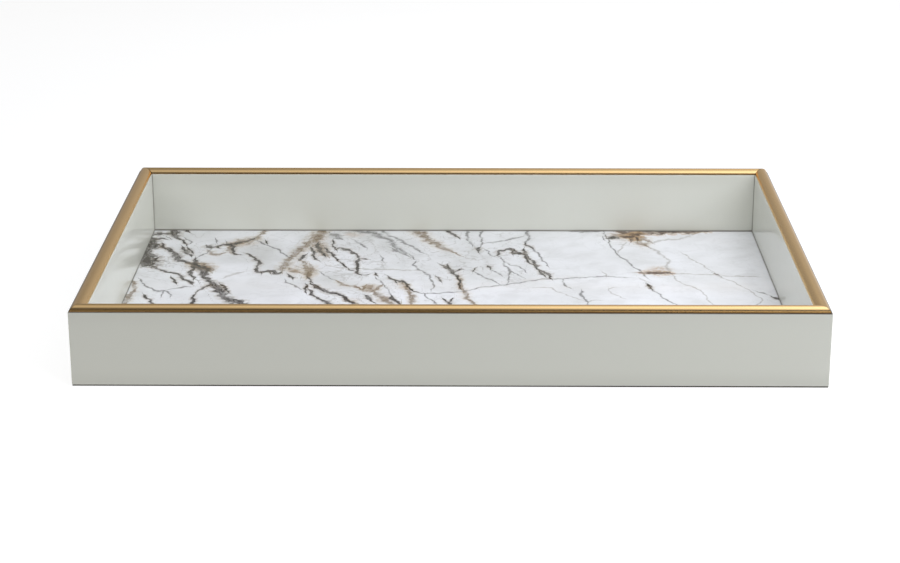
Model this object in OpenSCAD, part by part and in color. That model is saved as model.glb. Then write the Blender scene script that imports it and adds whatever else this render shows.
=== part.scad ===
// Rectangular dresser vanity tray.
// Four mitred boards in lacquer, a half-round metal bead pressed into the top
// of each, and a marble-pattern floor on a base board let in from below.
// Origin: centre of the underside. +X along the long side, +Y to the back,
// +Z up. The tray is open at the top.

/* [Tray] */
// Outside length, left to right
tray_length = 450; // [300:10:600]
// Outside width, front to back
tray_width = 300; // [200:10:450]
// Height from the underside to the top of the bead
tray_height = 50; // [45:1:90]

/* [Sides] */
// Thickness of each side board
side_thickness = 10; // [10:0.5:16]
// Radius of the upright outside corners
corner_radius = 0.8; // [0.4:0.1:1.5]
// Small chamfer along the long edges of each side board
edge_chamfer = 0.35; // [0.1:0.05:0.6]

/* [Trim] */
// Height of the bead above the sides
bead_height = 3.5; // [2.2:0.1:4]
// Step between the outside face and the bead
bead_setback = 0.8; // [0.5:0.1:1.2]
// Step between the inside face and the bead
bead_inset = 0.4; // [0.3:0.1:0.8]
// Radius of the bead's shoulders
shoulder_radius = 1.7; // [1:0.1:2]
// Depth of the tongue below the bead
tongue_depth = 6; // [4:0.5:8]
// Thickness of the tongue between its barbs
tongue_thickness = 1; // [0.8:0.1:1.2]
// Width of the kerf that the barbs grip
kerf_width = 1.6; // [1.4:0.1:2]
// Number of barbs along the tongue
barb_count = 4; // [2:1:5]

/* [Floor] */
// Thickness of the marble-pattern panel
panel_thickness = 0.8; // [0.6:0.1:2]
// Gap between the panel and the sides
panel_gap = 0.2; // [0.1:0.1:0.5]
// Thickness of the adhesive sheet under the panel
adhesive_thickness = 0.1; // [0.1:0.05:0.3]
// Thickness of the base board
base_thickness = 3; // [2:0.5:5]
// Width of the rabbet that the base board lies in
rabbet_width = 5; // [4:0.5:6]
// Thickness of the felt on the underside
felt_thickness = 0.8; // [0.5:0.1:1.5]
// Step between the outside face and the edge of the felt
felt_setback = 0.3; // [0.1:0.1:1]

/* [Joinery] */
// Thickness of a corner spline
spline_thickness = 1.6; // [1.2:0.1:2]
// Width of a corner spline, across the mitre
spline_width = 7; // [5:0.5:8]
// Height of a corner spline
spline_height = 30; // [15:1:30]
// Shank diameter of a brad
brad_diameter = 1.2; // [1:0.1:1.4]
// Length of a brad with its head
brad_length = 12; // [8:1:15]
// Head diameter of a brad
brad_head = 2.2; // [2:0.1:2.6]
// Brads along each long side
brads_long = 5; // [3:1:7]
// Brads along each short side
brads_short = 3; // [2:1:5]

/* [Hidden] */
$fn = 48;
L = tray_length;
W = tray_width;
t = side_thickness;
z_felt = felt_thickness;                       // underside of the boards
z_base = z_felt + base_thickness;              // top of the base board
z_glue = z_base + adhesive_thickness;
z_floor = z_glue + panel_thickness;            // floor of the tray
z_rim = tray_height - bead_height;             // top of the side boards
bead_width = t - bead_setback - bead_inset;
bead_mid = bead_setback + bead_width / 2;      // from the outside face
// the bead is a crown arc that runs tangent into two shoulder arcs
sh = bead_width / 2 - shoulder_radius;
crown = (sh * sh + bead_height * bead_height - shoulder_radius * shoulder_radius)
        / (2 * (bead_height - shoulder_radius));
kerf_depth = tongue_depth + 0.5;
slot_top = z_base + spline_height + 0.8;
spline_mid = 0.57 * t;                         // on the mitre, from the outside faces
brad_line = t - rabbet_width / 2;              // from the outside face
brad_head_height = 0.6;
sage = [0.79, 0.79, 0.75];
gold = [0.78, 0.62, 0.38];

// Section of a side board. X runs in from the outside face, Y is height.
module side_section() {
    c = edge_chamfer;
    difference() {
        polygon([[0, z_felt + c], [c, z_felt],
                 [t - rabbet_width, z_felt], [t - rabbet_width, z_base],
                 [t, z_base], [t, z_rim - c], [t - c, z_rim],
                 [c, z_rim], [0, z_rim - c]]);
        translate([bead_mid - kerf_width / 2, z_rim - kerf_depth])
            square([kerf_width, kerf_depth + 1]);
    }
}

// Points along an arc, from one angle to another. The first and last steps can
// be left out, where the next arc already has that point.
function arc(x, y, r, from, to, n, skip = 0) =
    [for (i = [skip : n - skip]) [x + r * cos(from + (to - from) * i / n),
                                  y + r * sin(from + (to - from) * i / n)]];

// Section of the trim's half-round bead: a shoulder, the crown, a shoulder.
module bead_section() {
    turn = atan2(crown - bead_height, sh);         // where crown and shoulder meet
    translate([bead_mid, z_rim]) polygon(concat(
        arc(sh, 0, shoulder_radius, 0, turn, 8),
        arc(0, bead_height - crown, crown, turn, 180 - turn, 20, 1),
        arc(-sh, 0, shoulder_radius, 180 - turn, 180, 8)));
}

// Section of the trim's tongue, with its barbs. It starts inside the bead.
module tongue_section() {
    h = tongue_depth / (barb_count + 1);
    a = tongue_thickness / 2;
    b = kerf_width / 2;
    right_edge = [for (i = [0 : barb_count - 1])
        for (p = [[a, -h * (i + 0.5)], [b, -h * (i + 0.8)], [a, -h * (i + 1.3)]]) p];
    left_edge = [for (i = [len(right_edge) - 1 : -1 : 0])
        [-right_edge[i][0], right_edge[i][1]]];
    translate([bead_mid, z_rim])
        polygon(concat([[a, bead_height / 2]], right_edge,
                       [[a * 0.5, -tongue_depth], [-a * 0.5, -tongue_depth]],
                       left_edge, [[-a, bead_height / 2]]));
}

// Extrudes a section along a side of the given length. The outside face is on
// y = 0, the section grows towards +y, and the run is centred on x = 0.
module run(length) {
    translate([-length / 2, 0, 0]) rotate([90, 0, 90]) linear_extrude(length) children();
}

// Plan of one side between its two mitres.
module mitre_plan(length) {
    linear_extrude(tray_height + 1) polygon([[-length / 2, 0], [length / 2, 0],
        [length / 2 - t, t], [-length / 2 + t, t]]);
}

// The tray's whole outline, with the small radius on its upright corners.
module outline_plan(inset = 0, r = corner_radius) {
    translate([-L / 2 + inset, -W / 2 + inset + r]) square([L - 2 * inset, W - 2 * inset - 2 * r]);
    translate([-L / 2 + inset + r, -W / 2 + inset]) square([L - 2 * inset - 2 * r, W - 2 * inset]);
    for (x = [-1, 1], y = [-1, 1])
        translate([x * (L / 2 - inset - r), y * (W / 2 - inset - r)]) circle(r);
}

// Puts a side or its trim on one edge of the tray: 0 front, 1 right, 2 back, 3 left.
module on_edge(k) {
    rotate([0, 0, 90 * k]) translate([0, -(k % 2 == 0 ? W : L) / 2, 0]) children();
}
function edge_length(k) = k % 2 == 0 ? L : W;

// One blade across each mitre, standing on end.
module blades(thickness, width, z0, height) {
    for (x = [-1, 1], y = [-1, 1])
        translate([x * (L / 2 - spline_mid), y * (W / 2 - spline_mid), z0])
            rotate([0, 0, x * y > 0 ? -45 : 45])
                translate([-width / 2, -thickness / 2, 0]) cube([width, thickness, height]);
}

// Centres of the brads on one edge.
function brad_row(n, length) = [for (i = [0 : n - 1]) (i - (n - 1) / 2) * length * 0.8 / (n - 1)];
module brad_places() {
    for (y = [-1, 1], x = brad_row(brads_long, L))
        translate([x, y * (W / 2 - brad_line), z_felt]) children();
    for (x = [-1, 1], y = brad_row(brads_short, W - 60))
        translate([x * (L / 2 - brad_line), y, z_felt]) children();
}
module brad() {
    cylinder(d = brad_diameter, h = brad_length);
    cylinder(d = brad_head, h = brad_head_height);
}

module side(k) {
    color(sage) difference() {
        intersection() {
            on_edge(k) intersection() {
                run(edge_length(k)) side_section();
                mitre_plan(edge_length(k));
            }
            linear_extrude(tray_height) outline_plan();
        }
        blades(spline_thickness, spline_width + 0.4, z_base - 0.5, slot_top - z_base + 0.5);
        brad_places() brad();
    }
}

module trim(k) {
    color(gold) on_edge(k) intersection() {
        union() {
            run(edge_length(k)) bead_section();
            run(edge_length(k)) tongue_section();
        }
        mitre_plan(edge_length(k));
    }
}

module front_side() { side(0); }
module right_side() { side(1); }
module back_side() { side(2); }
module left_side() { side(3); }
module front_trim() { trim(0); }
module right_trim() { trim(1); }
module back_trim() { trim(2); }
module left_trim() { trim(3); }

module marble_panel() {
    x = L - 2 * (t + panel_gap);
    y = W - 2 * (t + panel_gap);
    color([0.93, 0.93, 0.94])
        translate([-x / 2, -y / 2, z_glue]) cube([x, y, panel_thickness]);
}

module panel_adhesive() {
    x = L - 2 * (t + panel_gap) - 4;
    y = W - 2 * (t + panel_gap) - 4;
    color([0.85, 0.8, 0.62])
        translate([-x / 2, -y / 2, z_base]) cube([x, y, adhesive_thickness]);
}

module base_board() {
    g = 0.2;
    x = L - 2 * (t - rabbet_width + g);
    y = W - 2 * (t - rabbet_width + g);
    color([0.66, 0.53, 0.38]) difference() {
        translate([-x / 2, -y / 2, z_felt]) cube([x, y, base_thickness]);
        brad_places() brad();
    }
}

module corner_splines() {
    color([0.5, 0.36, 0.24])
        blades(spline_thickness, spline_width, z_base + 0.3, spline_height);
}

module base_brads() {
    color([0.7, 0.7, 0.72]) brad_places() brad();
}

module felt_backing() {
    color([0.24, 0.19, 0.15])
        linear_extrude(felt_thickness) outline_plan(felt_setback, 1);
}

front_side();
back_side();
left_side();
right_side();
front_trim();
back_trim();
left_trim();
right_trim();
marble_panel();
panel_adhesive();
base_board();
corner_splines();
base_brads();
felt_backing();
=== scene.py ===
import bpy
import math
import numpy as np
from mathutils import Matrix, Vector

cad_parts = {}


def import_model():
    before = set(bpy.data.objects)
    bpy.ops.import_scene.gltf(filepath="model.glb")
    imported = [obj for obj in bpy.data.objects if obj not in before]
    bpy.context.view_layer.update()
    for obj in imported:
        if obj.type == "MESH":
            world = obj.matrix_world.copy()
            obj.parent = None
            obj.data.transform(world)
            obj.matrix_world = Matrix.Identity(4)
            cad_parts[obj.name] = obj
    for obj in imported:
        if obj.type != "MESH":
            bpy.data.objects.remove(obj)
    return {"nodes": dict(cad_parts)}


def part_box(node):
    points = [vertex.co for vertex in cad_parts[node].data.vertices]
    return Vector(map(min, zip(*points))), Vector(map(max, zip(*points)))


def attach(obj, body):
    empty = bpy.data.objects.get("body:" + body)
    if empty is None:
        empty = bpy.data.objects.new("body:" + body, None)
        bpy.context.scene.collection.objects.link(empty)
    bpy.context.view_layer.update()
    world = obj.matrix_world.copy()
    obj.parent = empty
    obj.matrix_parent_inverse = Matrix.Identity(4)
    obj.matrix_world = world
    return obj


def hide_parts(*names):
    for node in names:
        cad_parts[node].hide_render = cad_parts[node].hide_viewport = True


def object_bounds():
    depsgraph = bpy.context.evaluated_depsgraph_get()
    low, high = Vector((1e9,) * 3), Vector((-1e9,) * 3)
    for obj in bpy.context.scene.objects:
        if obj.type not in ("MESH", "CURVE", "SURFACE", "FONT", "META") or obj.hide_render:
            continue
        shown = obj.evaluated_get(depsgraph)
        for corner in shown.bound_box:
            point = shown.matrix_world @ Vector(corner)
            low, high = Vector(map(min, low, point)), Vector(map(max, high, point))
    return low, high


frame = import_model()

LO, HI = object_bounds()
NODES = frame["nodes"]
MM = 0.001

# ---------------------------------------------------------------- sizes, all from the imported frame
LEN = HI.x - LO.x                                 # outside length
WID = HI.y - LO.y                                 # outside width
Z_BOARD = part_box("front_side")[0].z               # underside of the boards
Z_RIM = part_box("front_side")[1].z                 # top of the boards
Z_TOP = HI.z                                      # top of the bead
_plo, _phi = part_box("marble_panel")
_blo, _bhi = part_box("base_board")
_tlo, _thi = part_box("front_trim")
SIDE_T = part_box("front_side")[1].y - LO.y         # board thickness
BEAD_OUT = _tlo.y - LO.y                          # outside face to bead
BEAD_IN = _thi.y - LO.y                           # outside face to the bead's inner edge
Z_FLOOR = _phi.z


def shown(obj, *nodes, slot=None):
    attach(obj, "root")
    if nodes:
        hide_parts(*nodes)
    return obj


def new_mesh(name, verts, faces, smooth_angle=35.0):
    me = bpy.data.meshes.new(name)
    me.from_pydata([tuple(v) for v in verts], [], [tuple(f) for f in faces])
    me.validate()
    me.update()
    for p in me.polygons:
        p.use_smooth = True
    me.set_sharp_from_angle(angle=math.radians(smooth_angle))
    ob = bpy.data.objects.new(name, me)
    bpy.context.scene.collection.objects.link(ob)
    return ob


# ---------------------------------------------------------------- node helpers
class Tree:
    """A short way to write shader nodes."""

    def __init__(self, name, sky=False):
        self.mat = (bpy.data.worlds if sky else bpy.data.materials).new(name)
        self.mat.use_nodes = True
        self.t = self.mat.node_tree
        self.t.nodes.clear()
        if sky:
            return
        self.out = self.t.nodes.new("ShaderNodeOutputMaterial")
        self.bsdf = self.t.nodes.new("ShaderNodeBsdfPrincipled")
        self.t.links.new(self.bsdf.outputs[0], self.out.inputs[0])

    def put(self, socket, value):
        if value is None:
            return
        if isinstance(value, bpy.types.NodeSocket):
            self.t.links.new(value, socket)
        else:
            socket.default_value = value

    def node(self, kind, **settings):
        n = self.t.nodes.new(kind)
        for k, v in settings.items():
            setattr(n, k, v)
        return n

    def math(self, op, a, b=None, c=None, clamp=False):
        n = self.node("ShaderNodeMath", operation=op, use_clamp=clamp)
        for i, v in enumerate((a, b, c)):
            self.put(n.inputs[i], v)
        return n.outputs[0]

    def vmath(self, op, a, b=None, scale=None):
        n = self.node("ShaderNodeVectorMath", operation=op)
        self.put(n.inputs[0], a)
        self.put(n.inputs[1], b)
        if scale is not None:
            self.put(n.inputs[3], scale)
        return n.outputs[0]

    def coord(self):
        return self.node("ShaderNodeTexCoord").outputs["Object"]

    def scaled(self, vec, xyz, offset=(0, 0, 0)):
        n = self.node("ShaderNodeMapping")
        self.put(n.inputs[0], vec)
        n.inputs["Scale"].default_value = xyz
        n.inputs["Location"].default_value = offset
        return n.outputs[0]

    def noise(self, vec, scale, detail=2.0, rough=0.5, distort=0.0, color=False, lac=2.0):
        n = self.node("ShaderNodeTexNoise", noise_dimensions="3D")
        self.put(n.inputs["Vector"], vec)
        n.inputs["Scale"].default_value = scale
        n.inputs["Detail"].default_value = detail
        n.inputs["Roughness"].default_value = rough
        n.inputs["Lacunarity"].default_value = lac
        n.inputs["Distortion"].default_value = distort
        return n.outputs["Color" if color else 0]

    def voronoi(self, vec, scale, feature="F1", out=0, rand=1.0):
        n = self.node("ShaderNodeTexVoronoi", feature=feature)
        self.put(n.inputs["Vector"], vec)
        n.inputs["Scale"].default_value = scale
        n.inputs["Randomness"].default_value = rand
        return n.outputs[out]

    def ramp(self, v, lo, hi, a=0.0, b=1.0, smooth=True):
        n = self.node("ShaderNodeMapRange", interpolation_type="SMOOTHSTEP" if smooth else "LINEAR", clamp=True)
        self.put(n.inputs["Value"], v)
        self.put(n.inputs["From Min"], lo)
        self.put(n.inputs["From Max"], hi)
        self.put(n.inputs["To Min"], a)
        self.put(n.inputs["To Max"], b)
        return n.outputs[0]

    def mix(self, f, a, b, blend="MIX"):
        n = self.node("ShaderNodeMix", data_type="RGBA", blend_type=blend)
        self.put(n.inputs[0], f)
        self.put(n.inputs[6], a if isinstance(a, bpy.types.NodeSocket) else (*a, 1.0) if len(a) == 3 else a)
        self.put(n.inputs[7], b if isinstance(b, bpy.types.NodeSocket) else (*b, 1.0) if len(b) == 3 else b)
        return n.outputs[2]

    def bump(self, height, strength, distance, normal=None):
        n = self.node("ShaderNodeBump")
        n.inputs["Strength"].default_value = strength
        n.inputs["Distance"].default_value = distance
        self.put(n.inputs["Height"], height)
        self.put(n.inputs["Normal"], normal)
        return n.outputs[0]

    def attr(self, name, out="Fac"):
        n = self.node("ShaderNodeAttribute", attribute_type="GEOMETRY", attribute_name=name)
        return n.outputs[out]

    def set(self, **sockets):
        for k, v in sockets.items():
            self.put(self.bsdf.inputs[k.replace("_", " ")], v)
        return self


# ---------------------------------------------------------------- materials
def lacquer():
    m = Tree("sage_lacquer")
    p = m.coord()
    cloud = m.noise(p, 7.0, 3.0, 0.55)
    mott = m.noise(p, 130.0, 3.0, 0.55)
    base = m.mix(m.ramp(cloud, 0.3, 0.7), (0.595, 0.602, 0.549), (0.600, 0.606, 0.554))
    base = m.mix(m.ramp(mott, 0.35, 0.75, 0.0, 0.015), base, (0.53, 0.54, 0.48))
    speck = m.ramp(m.voronoi(p, 420.0), 0.035, 0.07, 0.12, 0.0)
    base = m.mix(m.math("MULTIPLY", speck, m.ramp(m.noise(p, 55.0), 0.55, 0.7)), base, (0.36, 0.35, 0.31))
    sep = m.node("ShaderNodeSeparateXYZ")
    m.put(sep.inputs[0], p)
    ax, ay, z = m.math("ABSOLUTE", sep.outputs[0]), m.math("ABSOLUTE", sep.outputs[1]), sep.outputs[2]
    hx, hy = LEN / 2 - SIDE_T, WID / 2 - SIDE_T
    inside = m.math("MULTIPLY", m.ramp(ax, hx + 0.5 * MM, hx + 1 * MM, 1.0, 0.0), m.ramp(ay, hy + 0.5 * MM, hy + 1 * MM, 1.0, 0.0))
    # painted shade: foot darkens the inner walls just above the floor, for the contact shadow there; joint is a dark
    # line along the inside corner joints
    uneven = m.ramp(m.noise(p, 40.0, 2.0, 0.5), 0.35, 0.65, 0.75, 1.0)
    foot = m.math("MULTIPLY", m.ramp(z, Z_FLOOR + 0.25 * MM, Z_FLOOR + 1.2 * MM, 0.85, 0.0), uneven)
    foot = m.math("MULTIPLY", foot, m.ramp(ay, hy - 0.1 * MM, hy, 0.4, 1.0))
    joint = m.math("MULTIPLY", m.ramp(ax, hx - 0.8 * MM, hx - 0.1 * MM, 0.0, 1.0), m.ramp(ay, hy - 0.8 * MM, hy - 0.1 * MM, 0.0, 1.0))
    # painted shade: the outside faces darken towards the bottom, for the shade near the floor
    low = m.math("MULTIPLY", m.ramp(z, Z_BOARD, Z_BOARD + 12 * MM, 0.22, 0.0), m.math("SUBTRACT", 1.0, inside))
    base = m.mix(low, base, (0.40, 0.40, 0.36))
    # painted shade: the inner walls darken towards the rim, for the shadow of the bead
    base = m.mix(m.math("MULTIPLY", inside, m.ramp(z, Z_RIM - 14 * MM, Z_RIM - 2 * MM, 0.0, 0.16)), base, (0.40, 0.40, 0.36))
    foot_shade_and_joint = m.math("MULTIPLY", inside, m.math("MAXIMUM", foot, m.math("MULTIPLY", joint, 0.6)))
    base = m.mix(foot_shade_and_joint, base, (0.13, 0.115, 0.095))
    # painted shade: a dark line along the outside top edge of the boards, just under the bead
    ledge_shade = m.math("MULTIPLY", m.ramp(z, Z_RIM - 0.35 * MM, Z_RIM - 0.1 * MM, 0.0, 0.85), m.math("SUBTRACT", 1.0, inside))
    base = m.mix(ledge_shade, base, (0.12, 0.10, 0.075))
    m.set(Base_Color=base, Specular_IOR_Level=0.5)
    m.set(Roughness=m.ramp(m.noise(p, 60.0, 3.0, 0.6), 0.3, 0.7, 0.155, 0.165))
    fine = m.noise(p, 700.0, 2.0, 0.5)
    wave = m.noise(p, 30.0, 2.0, 0.5)
    n1 = m.bump(wave, 0.012, 0.0004)
    m.set(Normal=m.bump(fine, 0.015, 0.00005, n1))
    return m.mat


def gold(axis):
    m = Tree("gold_" + axis)
    p = m.coord()
    along = (5.0, 1500.0, 1500.0) if axis == "x" else (1500.0, 5.0, 1500.0)
    hair = m.noise(m.scaled(p, along), 1.0, 3.0, 0.6)
    tone = m.noise(p, 14.0, 3.0, 0.5)
    base = m.mix(m.ramp(tone, 0.3, 0.7), (0.80, 0.535, 0.25), (0.815, 0.55, 0.262))
    sep = m.node("ShaderNodeSeparateXYZ")
    m.put(sep.inputs[0], p)
    # painted shade: the outer foot of the bead darkens where it meets the board; the mitre line is a dark joint
    foot_shade_and_mitre = m.ramp(m.math("ADD", sep.outputs[2], m.math("MULTIPLY", m.noise(p, 90.0), 0.00015)), Z_RIM + 0.02 * MM, Z_RIM + 0.3 * MM, 0.5, 0.0)
    ax, ay = m.math("ABSOLUTE", sep.outputs[0]), m.math("ABSOLUTE", sep.outputs[1])
    inset = m.math("MINIMUM", m.math("SUBTRACT", LEN / 2, ax), m.math("SUBTRACT", WID / 2, ay))
    foot_shade_and_mitre = m.math("MULTIPLY", foot_shade_and_mitre, m.ramp(inset, 4.5 * MM, 5.5 * MM, 1.0, 0.0))
    mitre = m.math("ABSOLUTE", m.math("SUBTRACT", m.math("SUBTRACT", LEN / 2, ax), m.math("SUBTRACT", WID / 2, ay)))
    foot_shade_and_mitre = m.math("MAXIMUM", foot_shade_and_mitre, m.ramp(mitre, 0.12 * MM, 0.38 * MM, 0.8, 0.0))
    base = m.mix(foot_shade_and_mitre, base, (0.10, 0.06, 0.025))
    m.set(Base_Color=base, Metallic=1.0, Specular_Tint=(1.0, 0.94, 0.85, 1.0))
    m.set(Roughness=m.ramp(hair, 0.3, 0.75, 0.215, 0.25))
    m.set(Normal=m.bump(hair, 0.02, 0.00003))
    return m.mat


def felt_mat():
    m = Tree("brown_felt")
    p = m.coord()
    f1 = m.noise(m.scaled(p, (700, 2600, 700)), 1.0, 4.0, 0.7, 1.2)
    f2 = m.noise(m.scaled(p, (2600, 700, 700)), 1.0, 4.0, 0.7, 1.2)
    fib = m.math("MAXIMUM", f1, f2)
    base = m.mix(m.ramp(fib, 0.45, 0.8), (0.020, 0.014, 0.010), (0.075, 0.056, 0.044))
    m.set(Base_Color=base, Roughness=m.ramp(fib, 0.3, 0.8, 0.86, 0.98), Sheen_Weight=0.08, Sheen_Roughness=0.5, Specular_IOR_Level=0.1)
    m.set(Normal=m.bump(fib, 0.9, 0.0004))
    return m.mat


def fibreboard():
    m = Tree("raw_fibreboard")
    p = m.coord()
    f = m.noise(m.scaled(p, (300, 300, 1200)), 1.0, 4.0, 0.65, 0.6)
    spot = m.voronoi(p, 900.0)
    base = m.mix(m.ramp(f, 0.3, 0.75), (0.36, 0.25, 0.15), (0.52, 0.39, 0.26))
    base = m.mix(m.ramp(spot, 0.0, 0.25, 0.35, 0.0), base, (0.24, 0.15, 0.08))
    m.set(Base_Color=base, Roughness=m.ramp(f, 0.3, 0.7, 0.75, 0.9))
    m.set(Normal=m.bump(f, 0.5, 0.0002))
    return m.mat


def hardboard():
    m = Tree("hardboard")
    p = m.coord()
    f = m.noise(m.scaled(p, (900, 900, 250)), 1.0, 4.0, 0.65, 0.8)
    base = m.mix(m.ramp(f, 0.3, 0.75), (0.20, 0.115, 0.06), (0.32, 0.20, 0.12))
    m.set(Base_Color=base, Roughness=m.ramp(f, 0.3, 0.7, 0.6, 0.8))
    m.set(Normal=m.bump(f, 0.5, 0.00015))
    return m.mat


def steel():
    m = Tree("wire_steel")
    p = m.coord()
    f = m.noise(m.scaled(p, (2500, 2500, 200)), 1.0, 3.0, 0.6)
    m.set(Base_Color=m.mix(f, (0.50, 0.50, 0.51), (0.64, 0.64, 0.66)), Metallic=1.0, Roughness=m.ramp(f, 0.3, 0.7, 0.25, 0.42))
    m.set(Normal=m.bump(f, 0.3, 0.00005))
    return m.mat


def adhesive():
    m = Tree("adhesive_sheet")
    p = m.coord()
    f = m.noise(p, 220.0, 4.0, 0.6)
    m.set(Base_Color=m.mix(f, (0.72, 0.62, 0.40), (0.82, 0.75, 0.56)), Roughness=m.ramp(f, 0.3, 0.7, 0.35, 0.55))
    m.set(Normal=m.bump(f, 0.3, 0.0001))
    return m.mat


LACQUER = lacquer()
GOLD_X, GOLD_Y = gold("x"), gold("y")
FELT, MDF, HARD, STEEL, GLUE = felt_mat(), fibreboard(), hardboard(), steel(), adhesive()


def paint(obj, *mats):
    obj.data.materials.clear()
    for mt in mats:
        obj.data.materials.append(mt)


# ---------------------------------------------------------------- sections swept between two mitres
def arc(cx, cy, r, a0, a1, n):
    return [(cx + r * math.cos(math.radians(a0 + (a1 - a0) * i / n)), cy + r * math.sin(math.radians(a0 + (a1 - a0) * i / n))) for i in range(n + 1)]


def loop_normals(pts):
    """Outward normals of a counter-clockwise loop of (s, z) points, averaged at each corner."""
    n = len(pts)
    out = []
    for i in range(n):
        a, b, c = np.array(pts[i - 1]), np.array(pts[i]), np.array(pts[(i + 1) % n])
        e0, e1 = b - a, c - b
        n0 = np.array([e0[1], -e0[0]]) / max(np.linalg.norm(e0), 1e-12)
        n1 = np.array([e1[1], -e1[0]]) / max(np.linalg.norm(e1), 1e-12)
        v = n0 + n1
        out.append(v / max(np.linalg.norm(v), 1e-9))
    return out


def swept(name, section, edge, length, steps, corner_r=0.0, arris=0.1 * MM, gap=0.015 * MM, caps=None, depth=None):
    """A section of (inset from the outside face, height) points, run along one edge of the tray: 0 front, 1 right, 2 back,
    3 left. Both ends are cut to a 45 degree mitre, with a fine arris, and the outside upright corner is rounded."""
    sec = [tuple(q) for q in section]
    nrm = loop_normals(sec)
    depth = depth or max(q[0] for q in sec)
    rings = []
    half = length / 2
    # distance from the mitre plane, inset of the outside face, share of the arris
    stations = []
    if corner_r > 0:
        for k in range(6):
            f = math.radians(45.0 * k / 5)
            stations.append((max(corner_r * (math.cos(f) - math.sin(f)), arris), corner_r * (1 - math.cos(f)), 0.0))
    else:
        stations.append((4 * arris, 0.0, 0.0))
        stations.append((arris, 0.0, 0.0))
    last = stations[-1][1]
    stations.append((arris * 0.45 + gap, last, 0.35))
    stations.append((gap, last, 1.0))

    def ring(side, d, s_out, share):
        pts = []
        for (s, z), nv in zip(sec, nrm):
            s2 = s + s_out * (1 - s / depth) - nv[0] * arris * share
            z2 = z - nv[1] * arris * share
            pts.append((side * (half - s2 - d), s2, z2))
        return pts

    rows = [ring(-1, *st) for st in reversed(stations)]
    x0 = half - depth - stations[0][0]
    for k in range(1, steps):
        u = -1 + 2 * k / steps
        pts = []
        for s, z in sec:
            reach = half - s - stations[0][0]
            pts.append((u * reach, s, z))
        rows.append(pts)
    rows += [ring(1, *st) for st in stations]
    n = len(sec)
    verts = [p for r in rows for p in r]
    faces = []
    for i in range(len(rows) - 1):
        for j in range(n):
            a, b = i * n + j, i * n + (j + 1) % n
            c, d = b + n, a + n
            faces.append((a, b, c, d))
    faces.append(tuple(range(n)))
    faces.append(tuple(reversed(range((len(rows) - 1) * n, len(rows) * n))))
    turn = Matrix.Rotation(math.radians(90 * edge), 4, "Z")
    shift = -(WID if edge % 2 == 0 else LEN) / 2
    ctr = Vector(((LO.x + HI.x) / 2, (LO.y + HI.y) / 2, 0))
    out = []
    for x, s, z in verts:
        v = turn @ Vector((x, shift + s, z)) + ctr
        out.append(v)
    return new_mesh(name, out, faces)


def board_section():
    r, t = 0.4 * MM, SIDE_T
    rab = _blo.y - LO.y - 0.2 * MM        # rabbet's inner wall, from the outside face
    zb = _bhi.z                           # rabbet's ceiling
    mid = (BEAD_OUT + BEAD_IN) / 2
    kw, kd = 1.6 * MM, 6.5 * MM
    z0, z1 = Z_BOARD, Z_RIM
    pts = []
    pts += arc(r, z0 + r, r, 180, 270, 3)
    pts += [(rab - 0.15 * MM, z0), (rab, z0 + 0.15 * MM), (rab, zb)]
    pts += [(t - 0.15 * MM, zb), (t, zb + 0.15 * MM)]
    pts += [(t, z0 + (z1 - z0) * k / 4) for k in (1, 2, 3)]
    pts += arc(t - r, z1 - r, r, 0, 90, 3)
    pts += [(mid + kw / 2, z1), (mid + kw / 2, z1 - kd), (mid - kw / 2, z1 - kd), (mid - kw / 2, z1)]
    pts += arc(r, z1 - r, r, 90, 180, 3)
    pts += [(0, z0 + (z1 - z0) * k / 4) for k in (3, 2, 1)]
    return pts


def bead_section():
    w, h = BEAD_IN - BEAD_OUT, Z_TOP - Z_RIM
    mid = (BEAD_OUT + BEAD_IN) / 2
    rs = 1.7 * MM
    sh = w / 2 - rs
    R = (sh * sh + h * h - rs * rs) / (2 * (h - rs))
    turn = math.degrees(math.atan2(R - h, sh))
    a = arc(mid + sh, Z_RIM, rs, 0, turn, 7)
    b = arc(mid, Z_RIM + h - R, R, turn, 180 - turn, 18)[1:-1]
    c = arc(mid - sh, Z_RIM, rs, 180 - turn, 180, 7)
    pts = a + b + c                       # right foot, over the crown, left foot
    # foot radius, then the tongue with its barbs
    hh, ta, tb, td = 6.0 * MM / 5, 0.5 * MM, 0.8 * MM, 6.0 * MM
    left = [(mid - ta, Z_RIM)]
    for i in range(4):
        left += [(mid - ta, Z_RIM - hh * (i + 0.5)), (mid - tb, Z_RIM - hh * (i + 0.8)), (mid - ta, Z_RIM - hh * (i + 1.3))]
    left += [(mid - ta * 0.5, Z_RIM - td)]
    right = [(2 * mid - s, z) for s, z in reversed(left)]
    return pts + left + right


BOARD, BEAD = board_section(), bead_section()
EDGES = (("front", 0), ("right", 1), ("back", 2), ("left", 3))
for side, k in EDGES:
    length = LEN if k % 2 == 0 else WID
    b = swept(side + "_board", BOARD, k, length, 30 if k % 2 == 0 else 20, corner_r=0.8 * MM, depth=SIDE_T)
    paint(b, LACQUER)
    shown(b, side + "_side", slot="lacquered_board")
    g = swept(side + "_bead", BEAD, k, length, 30 if k % 2 == 0 else 20, arris=0.12 * MM)
    paint(g, GOLD_X if k % 2 == 0 else GOLD_Y)
    shown(g, side + "_trim", slot="gold_trim")


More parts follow.
